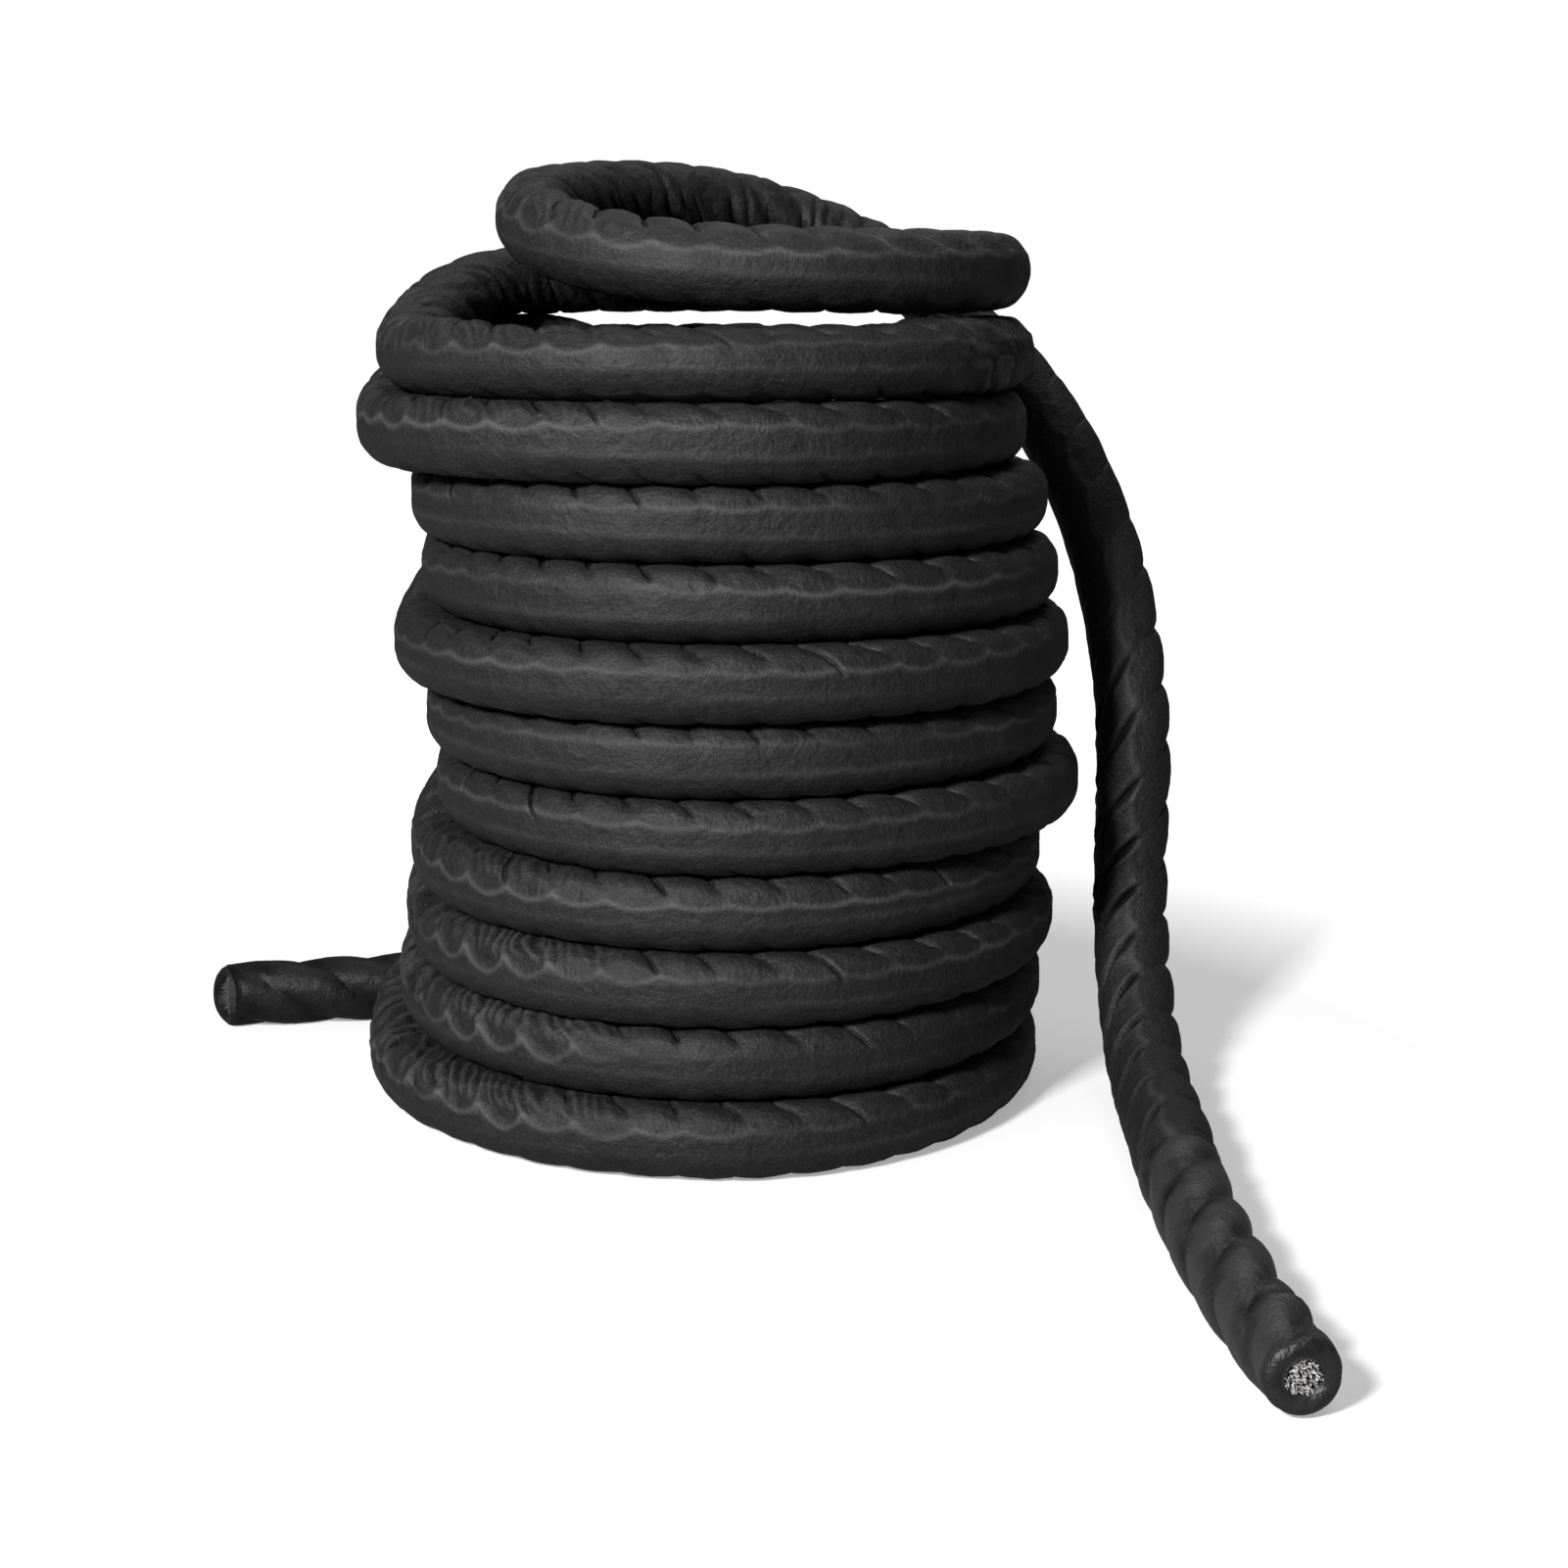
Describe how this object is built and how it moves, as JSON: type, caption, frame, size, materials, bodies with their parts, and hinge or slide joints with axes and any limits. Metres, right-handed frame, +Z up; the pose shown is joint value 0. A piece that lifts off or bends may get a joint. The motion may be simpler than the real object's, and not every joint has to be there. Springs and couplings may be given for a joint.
{
  "type": "battle rope",
  "caption": "Thick training rope in a matt black woven sleeve, standing as a tall coil with its tail on the floor and a heat-shrunk black handle on each end.",
  "frame": {"origin": "on the floor, at the centre of the whole object's footprint box, just in front of the coil's axis", "axes": "+Z up along the coil's axis; -Y to the front, where the tail and its handle point; +X to the side where the tail hangs down"},
  "size_m": [0.5238, 0.5768, 0.4686],
  "materials": {
    "sleeve_cloth": "matt plain weave",
    "core_fibre": "dull laid fibre",
    "strand_fibre": "dull cut fibre",
    "shrink_tube": "satin",
    "binding_tape": "smooth tape"
  },
  "bodies": {
    "coil": {"coil_sleeve": "sleeve_cloth", "coil_core": "core_fibre", "top_turn_sleeve": "sleeve_cloth", "top_turn_core": "core_fibre", "hanging_tail_sleeve": "sleeve_cloth", "hanging_tail_core": "core_fibre"},
    "floor_tail": {"floor_tail_sleeve": "sleeve_cloth", "floor_tail_core": "core_fibre"},
    "front_handle": {"front_end_tape": "binding_tape", "front_shrink": "shrink_tube", "front_sleeve_cuff": "sleeve_cloth", "front_strand_1": "strand_fibre", "front_strand_2": "strand_fibre", "front_strand_3": "strand_fibre"},
    "back_handle": {"back_end_tape": "binding_tape", "back_shrink": "shrink_tube", "back_sleeve_cuff": "sleeve_cloth", "back_strand_1": "strand_fibre", "back_strand_2": "strand_fibre", "back_strand_3": "strand_fibre"}
  },
  "joints": [
    {"name": "front_tail_swing", "type": "hinge", "parent": "coil", "child": "floor_tail", "pos_m": [0.23982, 0.12404, 0.14], "axis": [0, 0, 1], "range_deg": [-20, 20]},
    {"name": "front_handle_lift", "type": "hinge", "parent": "floor_tail", "child": "front_handle", "pos_m": [0.23546, -0.02675, 0.01907], "axis": [-0.9992, 0.0403, 0], "range_deg": [0, 35]},
    {"name": "back_handle_swing", "type": "hinge", "parent": "coil", "child": "back_handle", "pos_m": [-0.01361, 0.25409, 0.0176], "axis": [0, 0, -1], "range_deg": [0, 25]}
  ]
}
